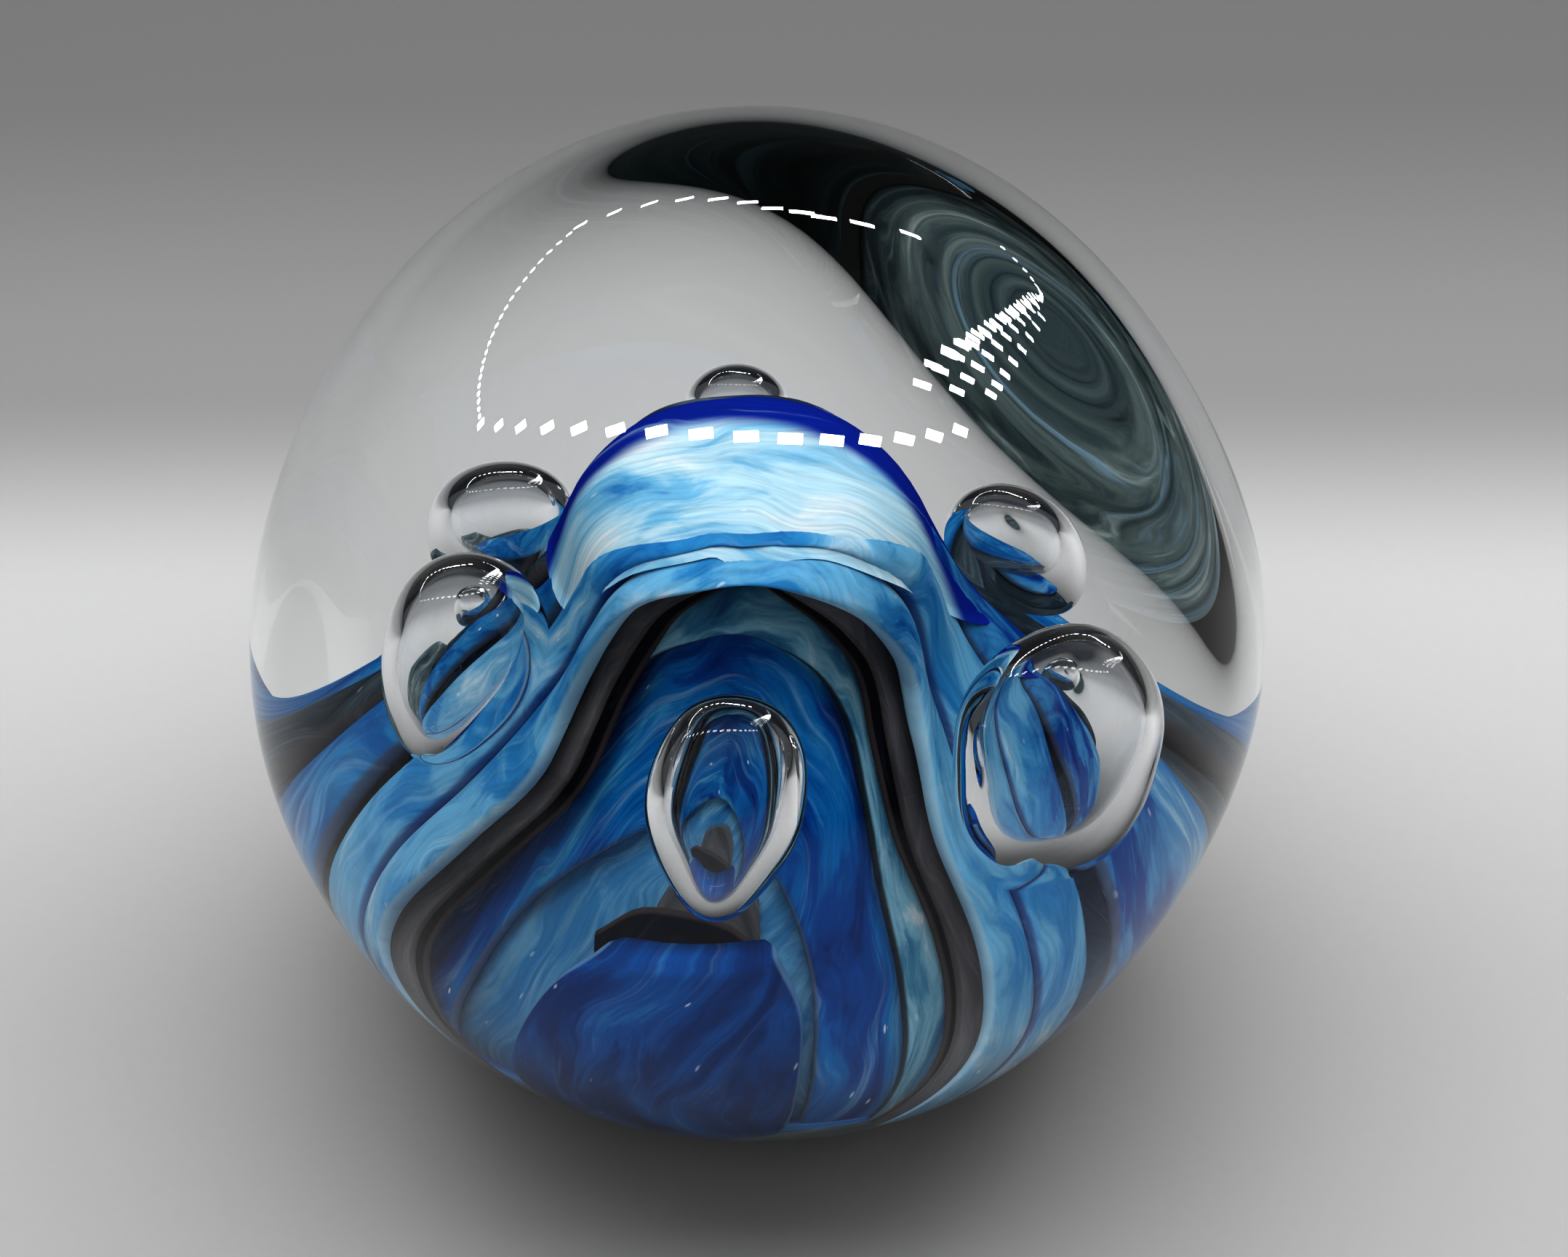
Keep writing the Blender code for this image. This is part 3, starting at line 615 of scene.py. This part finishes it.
def core():
    """The dark core under the veil, with its neck down to the base."""
    heights, radii = offset_outline(CORE_DEPTH)
    outline = [(float(r), float(h)) for h, r in zip(heights, radii)
               if h > CORE_LOW and r > CORE_TIP][::-1]
    outline += smooth_curve(FOOT_OUTLINE, FOOT_STEPS).tolist()
    rows = turned_rows(outline, CORE_SEGMENTS)
    # The pattern is six units round the core and slants with the height
    flow = [[(k / 24 + h / 12, r / 6 + h / 16) for k in range(CORE_SEGMENTS)] for r, h in outline]
    rim = [[(0.5, 0.5)] * CORE_SEGMENTS for _ in outline]
    obj = loft("core_glass", [row.tolist() for row in rows], flow, rim)
    place(obj, GLASS["deep"], "deep_blue_glass", "core_bulb")
    obj.data.materials.append(GLASS["foot"])
    for face in obj.data.polygons:
        face.material_index = int(face.center.z < FOOT_TOP * MM)


def trail():
    """Marbled glass drawn out low in the back of the clear ball."""
    share = np.concatenate((np.linspace(0, 1, TRAIL_STEPS), np.linspace(1, 0, TRAIL_STEPS)))
    sink = np.repeat((TRAIL_DEPTH, TRAIL_DEPTH + TRAIL_THICKNESS), TRAIL_STEPS)[:, None]
    middle = np.array((0, 0, BALL_CENTRE))
    rows, flow = [], []
    for azimuth in np.linspace(TRAIL_TOP[0][0], TRAIL_TOP[-1][0], TRAIL_STATIONS):
        top = np.interp(azimuth, *np.transpose(TRAIL_TOP))
        rise = TRAIL_FOOT + (top - TRAIL_FOOT) * share
        points = body_points(azimuth, rise)
        way = (middle - points) / np.linalg.norm(middle - points, axis=1)[:, None]
        rows.append((points + way * sink).tolist())
        flow.append([(azimuth / 24, angle / 14) for angle in rise])
    rim = [[(0.5, 0.5)] * len(share)] * len(rows)
    obj = loft("marbled_trail", rows, flow, rim)
    obj.data.materials.append(GLASS["foot"])
    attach(obj, "root")


# ---------------------------------------------------------------- palette

def palette():
    """Every coloured glass of the veil."""
    deep = ((0.28, (0.001, 0.032, 0.18)), (0.41, (0.002, 0.095, 0.40)),
            (0.53, (0.006, 0.22, 0.60)), (0.70, (0.12, 0.50, 0.80)))
    night = ((0.30, (0.001, 0.014, 0.08)), (0.45, (0.001, 0.042, 0.20)),
             (0.60, (0.003, 0.11, 0.40)), (0.78, (0.05, 0.34, 0.66)))
    crown = ((0.28, (0.05, 0.27, 0.60)), (0.42, (0.22, 0.55, 0.80)),
             (0.56, (0.55, 0.80, 0.92)), (0.72, (0.85, 0.93, 0.96)))
    royal = ((0.28, (0.003, 0.055, 0.24)), (0.43, (0.008, 0.14, 0.42)),
             (0.56, (0.04, 0.29, 0.60)), (0.72, (0.26, 0.58, 0.80)))
    sky = ((0.30, (0.01, 0.13, 0.44)), (0.43, (0.05, 0.30, 0.62)),
           (0.56, (0.20, 0.52, 0.78)), (0.72, (0.62, 0.80, 0.90)))
    pale = ((0.28, (0.02, 0.14, 0.42)), (0.43, (0.06, 0.30, 0.60)),
            (0.58, (0.22, 0.52, 0.76)), (0.74, (0.60, 0.76, 0.86)))
    teal = ((0.28, (0.015, 0.09, 0.24)), (0.43, (0.07, 0.26, 0.42)),
            (0.58, (0.25, 0.50, 0.64)), (0.74, (0.66, 0.75, 0.80)))
    cobalt = ((0.30, (0.002, 0.020, 0.14)), (0.43, (0.006, 0.075, 0.34)),
              (0.55, (0.06, 0.29, 0.58)), (0.70, (0.40, 0.65, 0.80)))
    slate = ((0.30, (0.010, 0.018, 0.030)), (0.46, (0.035, 0.055, 0.070)),
             (0.62, (0.09, 0.12, 0.14)), (0.80, (0.25, 0.30, 0.33)))
    smoke = ((0.30, (0.07, 0.075, 0.08)), (0.45, (0.13, 0.135, 0.14)),
             (0.60, (0.21, 0.21, 0.21)), (0.75, (0.32, 0.34, 0.36)))
    marble = ((0.28, (0.02, 0.034, 0.038)), (0.42, (0.085, 0.12, 0.12)),
              (0.56, (0.17, 0.22, 0.21)), (0.72, (0.42, 0.50, 0.48)))
    grey = ((0.30, (0.10, 0.095, 0.10)), (0.5, (0.17, 0.16, 0.165)),
            (0.65, (0.23, 0.22, 0.22)), (0.8, (0.30, 0.30, 0.30)))
    # The black glass is painted shade: a dark sheet put in the recesses under the lips and in the
    # slot, where the veil lies in shadow.
    black = ((0.30, (0.002, 0.002, 0.004)), (0.5, (0.004, 0.004, 0.008)),
             (0.65, (0.008, 0.009, 0.016)), (0.8, (0.02, 0.022, 0.035)))
    return {
        "deep": veil_glass("deep_blue", deep, 0.5, 1.0, 35, (0.20, 0.26, 0.30), 0.6,
                           seed=1.0),
        # The night blue's light blue edge line is partly a lighter rolled rim of glass and partly a
        # painted highlight.
        "night": veil_glass("night_blue", night, 0.16, 0.6, 30, (0.25, 0.5, 0.75), 0.5, seed=6.4),
        "royal": veil_glass("royal_blue", royal, 0.45, 0.8, 20, seed=4.0),
        # The sky blue's pale edge line is partly a lighter rim of glass and partly a painted
        # highlight.
        "sky": veil_glass("sky_blue", sky, 0.45, 0.5, 0, (0.55, 0.75, 0.85), 0.5, seed=2.3),
        "crest": veil_glass("crest_blue", sky, 0.6, 0.5, 0, (0.02, 0.03, 0.2), 0.7, seed=7.7),
        "crown": veil_glass("crown_blue", crown, 0.7, 0.5, 0, (0.02, 0.03, 0.2), 0.7, seed=7.7,
                            back=(0.008, 0.03, 0.34)),
        "teal": veil_glass("teal", teal, 0.5, 0.3, 0, (0.01, 0.01, 0.015), 0.9, 1.6, seed=5.1),
        "panel": veil_glass("panel_teal", pale, 0.5, 0.4, 60, (0.26, 0.22, 0.18), 0.9, seed=8.2),
        "cobalt": veil_glass("cobalt_violet", cobalt, 0.25, 0.4, 10, seed=6.0),
        "slate": veil_glass("slate", slate, 0.25, 0.2, 0, cloud=1.4, seed=9.0),
        "smoke": veil_glass("smoke", smoke, 0.2, 0.0, 80, (0.10, 0.16, 0.24), 0.7, seed=4.4),
        "foot": veil_glass("foot_marble", marble, 0.5, 0.0, 30, cloud=2.2, seed=2.9),
        "grey": veil_glass("purple_grey", grey, 0.1, 0.0, 0, (0.02, 0.02, 0.02), 0.5, seed=3.3),
        # Painted shade for the recesses and the slot
        "black": veil_glass("black", black, 0.05, 0.0, 0, seed=3.9),
    }


GLASS = palette()


def front():
    """The nested arches round the front bubble, and the heart inside them."""
    place(ribbon("lip", MID_EDGE, LIP_EDGE, OUTER, 1.1, 0.3, 0.0, 0.7), GLASS["sky"],
          "sky_blue_glass", "lip_band")
    place(ribbon("crest", CREST_EDGE, MID_EDGE, OUTER, 1.1, 0.4, 0.0, 0.2), GLASS["crest"],
          "sky_blue_glass", "crest_band")
    place(ribbon("shelf", shifted(LIP_EDGE, 2.0, 1.2), shifted(LIP_EDGE, -1.1, -1.3), SHELF,
                 0.5), GLASS["grey"], "grey_glass", "shelf_ribbon")
    # The recess ribbon is painted shade: black glass where the recess under the lip lies in shadow.
    place(ribbon("recess", shifted(LIP_EDGE, 1.5, 0.8), shifted(LIP_EDGE, -1.2, -2.2), RECESS,
                 0.5), GLASS["black"], "black_glass", "recess_ribbon")
    place(ribbon("teal_arch", TEAL_EDGE, FACE_EDGE, TEAL, 0.8, 0.2, 0.1, 0.1), GLASS["teal"],
          "teal_glass", "teal_ribbon")
    place(ribbon("blue_arch", shifted(FACE_EDGE, 1.2, 1.6), PANEL_EDGE, FACE, 0.9, 0.3),
          GLASS["deep"], "deep_blue_glass", "blue_face")
    place(ribbon("heart_panel", PANEL_LEFT, PANEL_RIGHT, PANEL, 0.9, 0.2), GLASS["panel"],
          "teal_glass", "sky_panel")
    # The slot is painted shadow: black glass in the shadowed cavity between the lobe and the heart
    # panel.
    place(ribbon("slot", SLOT_TOP, SLOT_LOW, SLOT, 0.4), GLASS["black"], "black_glass",
          "slot_lining")
    window = ribbon("slot_window", WINDOW_TOP, WINDOW_LOW, WINDOW, 0.4)
    window.data.materials.append(GLASS["smoke"])
    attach(window, "root")
    place(ribbon("lobe", LOBE_LEFT, LOBE_RIGHT, LOBE, 2.6, 0.8, lanes=26), GLASS["night"],
          "deep_blue_glass", "lower_lobe")


def flanks():
    """Ribbons on the flanks, the veils behind their seams and the cap."""
    place(ribbon("left_flank", *LEFT_RIBBON[::-1], OUTER, 1.1, 0.4), GLASS["royal"],
          "deep_blue_glass", "left_ribbon")
    place(ribbon("right_flank", *COBALT_RIBBON, OUTER, 1.1, 0.4), GLASS["cobalt"],
          "cobalt_glass", "cobalt_ribbon")
    place(ribbon("left_seam", *LEFT_VEIL[::-1], SHELF, 0.6), GLASS["deep"],
          "deep_blue_glass", "left_side_veil")
    place(ribbon("right_seam", *RIGHT_VEIL, SHELF, 0.6), GLASS["slate"],
          "cobalt_glass", "right_side_veil")
    place(cap("cap", CAP_LOOP, -0.3, 1.0), GLASS["crown"], "cobalt_glass", "crest_cap")


def rear():
    """The simpler arches on the back."""
    place(ribbon("rear_crest", REAR_CREST, REAR_MID, OUTER, 1.1, 0.4), GLASS["slate"],
          "sky_blue_glass", "rear_crest_band")
    place(ribbon("rear_lip", REAR_MID, REAR_LIP, OUTER, 1.1, 0.3, 0.0, 0.6), GLASS["royal"],
          "sky_blue_glass", "rear_lip_band")
    place(ribbon("rear_shelf", shifted(REAR_LIP, 2.0, 2.0), shifted(REAR_LIP, -1.0, -1.0),
                 SHELF, 0.5), GLASS["grey"], "grey_glass", "rear_shelf_ribbon")
    # The rear recess ribbon is painted shade: black glass where the recess under the rear lip lies
    # in shadow.
    place(ribbon("rear_recess", shifted(REAR_LIP, 1.0, 0.8), shifted(REAR_LIP, -1.4, -1.0),
                 RECESS, 0.5), GLASS["black"], "black_glass", "rear_recess_ribbon")
    place(ribbon("rear_blue", shifted(REAR_LIP, -1.2, -1.2), REAR_PANEL, TEAL, 0.9, 0.3),
          GLASS["deep"], "deep_blue_glass", "rear_face")
    place(ribbon("rear_heart", REAR_LEFT, REAR_RIGHT, FACE, 0.9, 0.2), GLASS["panel"],
          "teal_glass", "rear_panel")


# ---------------------------------------------------------------- studio

def backdrop():
    """A floor that bends up into a wall, with painted light and shade: pale under the object and
    grey behind it.
    """
    near_end, bend, radius, top, half_width = -1400.0, 760.0, 140.0, 1500.0, 1500
    path = [(near_end, 0.0), (0.0, 0.0), (bend, 0.0)]
    path += [(bend + radius * math.sin(a), radius * (1 - math.cos(a)))
             for a in np.linspace(0.1, math.pi / 2, 14)]
    path.append((bend + radius, top))
    mesh = bmesh.new()
    grid = [[mesh.verts.new(Vector((x, y, z)) * MM) for x in (-half_width, 0, half_width)]
            for y, z in path]
    for near, far in zip(grid, grid[1:]):
        for k in range(2):
            mesh.faces.new((near[k], near[k + 1], far[k + 1], far[k]))
    obj = as_object("backdrop", mesh)
    n = Nodes("backdrop_paper")
    spot = n.add("TexCoord").outputs["Object"]
    grain = n.noise(n.scaled(spot, (900, 900, 900)), 1.0, 3.0)
    depth = n.add("SeparateXYZ", {"Vector": spot}).outputs["Y"]
    depth = n.add("MapRange", {"Value": depth, "From Min": -0.1, "From Max": 0.2}).outputs["Result"]
    # Painted light and shade: the paper is painted palest about 50 mm behind the object's middle
    # and darker further back, where the light falls off.
    painted_light_and_shade = n.ramp(depth, ((0.3, (0.55, 0.55, 0.55)), (0.5, (0.67, 0.67, 0.67)),
                            (0.61, (0.35, 0.35, 0.35)), (0.80, (0.235, 0.235, 0.235))))
    colour = n.mix(n.maths("MULTIPLY", grain, 0.06), painted_light_and_shade, (0.25, 0.25, 0.25))
    shader = n.add("BsdfPrincipled", {"Base Color": colour, "Roughness": 0.55,
                                      "Specular IOR Level": 0.3})
    obj.data.materials.append(n.finish(shader.outputs[0]))


def area_light(name, position, target, size, power):
    """A soft rectangular lamp."""
    data = bpy.data.lights.new(name, "AREA")
    data.shape = "RECTANGLE"
    data.size, data.size_y = (side * MM for side in size)
    data.energy = power
    obj = bpy.data.objects.new(name, data)
    obj.location = Vector(position) * MM
    obj.rotation_euler = (Vector(target) - Vector(position)).to_track_quat("-Z", "Y").to_euler()
    obj.visible_camera = False
    obj.visible_glossy = False
    obj.visible_transmission = False
    bpy.context.scene.collection.objects.link(obj)


def led_rows():
    """Rows of small lamps above the object, seen as bright beads in the glass."""
    height = 340.0
    # Rows placed where their reflections show them, to 10 mm. Each row: three places that it
    # passes through, how many lamps it has, and their size
    strips = (((-430, 100), (-60, -70), (240, -30), 15, (26, 13)),
              ((-430, 100), (-400, 300), (-260, 500), 24, (9, 9)),
              ((-260, 500), (-90, 400), (10, 310), 7, (22, 12)),
              ((40, 300), (80, 290), (160, 310), 4, (26, 13)),
              ((400, 600), (470, 500), (450, 420), 9, (12, 12)),
              ((450, 420), (300, 200), (200, 70), 11, (24, 9)),
              ((430, 400), (290, 190), (180, 40), 11, (24, 9)),
              ((410, 380), (280, 170), (170, 10), 11, (24, 9)),
              ((420, 360), (300, 160), (220, 20), 11, (24, 9)),
              ((430, 330), (330, 140), (280, 40), 8, (24, 9)))
    mesh = bmesh.new()
    for first, middle, last, count, (wide, deep) in strips:
        for share in np.linspace(0, 1, count):
            x, y = (np.array(first) * (1 - share) * (1 - 2 * share)
                    + np.array(middle) * 4 * share * (1 - share)
                    + np.array(last) * share * (2 * share - 1))
            corners = [(x + a * wide / 2, y + b * deep / 2, height)
                       for a, b in ((-1, -1), (-1, 1), (1, 1), (1, -1))]
            mesh.faces.new([mesh.verts.new(Vector(corner) * MM) for corner in corners])
    obj = as_object("led_rows", mesh)
    n = Nodes("led")
    glow = n.add("Emission", {"Color": (1, 0.99, 0.97, 1), "Strength": 70.0})
    obj.data.materials.append(n.finish(glow.outputs[0]))
    obj.visible_diffuse = False
    obj.visible_shadow = False


def studio():
    """World light, backdrop, rows of small lamps and the soft lamps."""
    world = bpy.data.worlds.new("studio")
    bpy.context.scene.world = world
    world.use_nodes = True
    world.node_tree.nodes["Background"].inputs["Color"].default_value = (0.75, 0.77, 0.80, 1)
    world.node_tree.nodes["Background"].inputs["Strength"].default_value = 0.085
    backdrop()
    led_rows()
    area_light("ceiling", (0, 60, 520), (0, 0, 0), (700, 600), 2.85)
    area_light("front_fill", (-60, -480, 330), (0, 0, 30), (360, 260), 0.14)


def camera():
    """The camera, 40 degrees above the ball's middle."""
    elevation, distance = math.radians(40), 350.0
    aim_right, aim_up = 2.06, 0.5
    middle = Vector((0, 0, BALL_CENTRE))
    out = Vector((0, -math.cos(elevation), math.sin(elevation)))
    data = bpy.data.cameras.new("camera")
    data.sensor_width = 36.0
    data.lens = 101.9
    data.clip_start = 0.01
    obj = bpy.data.objects.new("camera", data)
    obj.location = (middle + out * distance) * MM
    up = Vector((0, math.sin(elevation), math.cos(elevation)))
    aim = middle + Vector((aim_right, 0, 0)) + up * aim_up
    direction = aim - (middle + out * distance)
    obj.rotation_euler = direction.to_track_quat("-Z", "Y").to_euler()
    bpy.context.scene.collection.objects.link(obj)
    scene = bpy.context.scene
    scene.camera = obj
    scene.view_settings.view_transform = "Standard"
    scene.view_settings.look = "High Contrast"
    scene.cycles.transmission_bounces = 24
    scene.cycles.max_bounces = 28
    scene.cycles.transparent_max_bounces = 24
    scene.cycles.use_denoising = True


camera()
ball()
core()
front()
flanks()
rear()
trail()
studio()
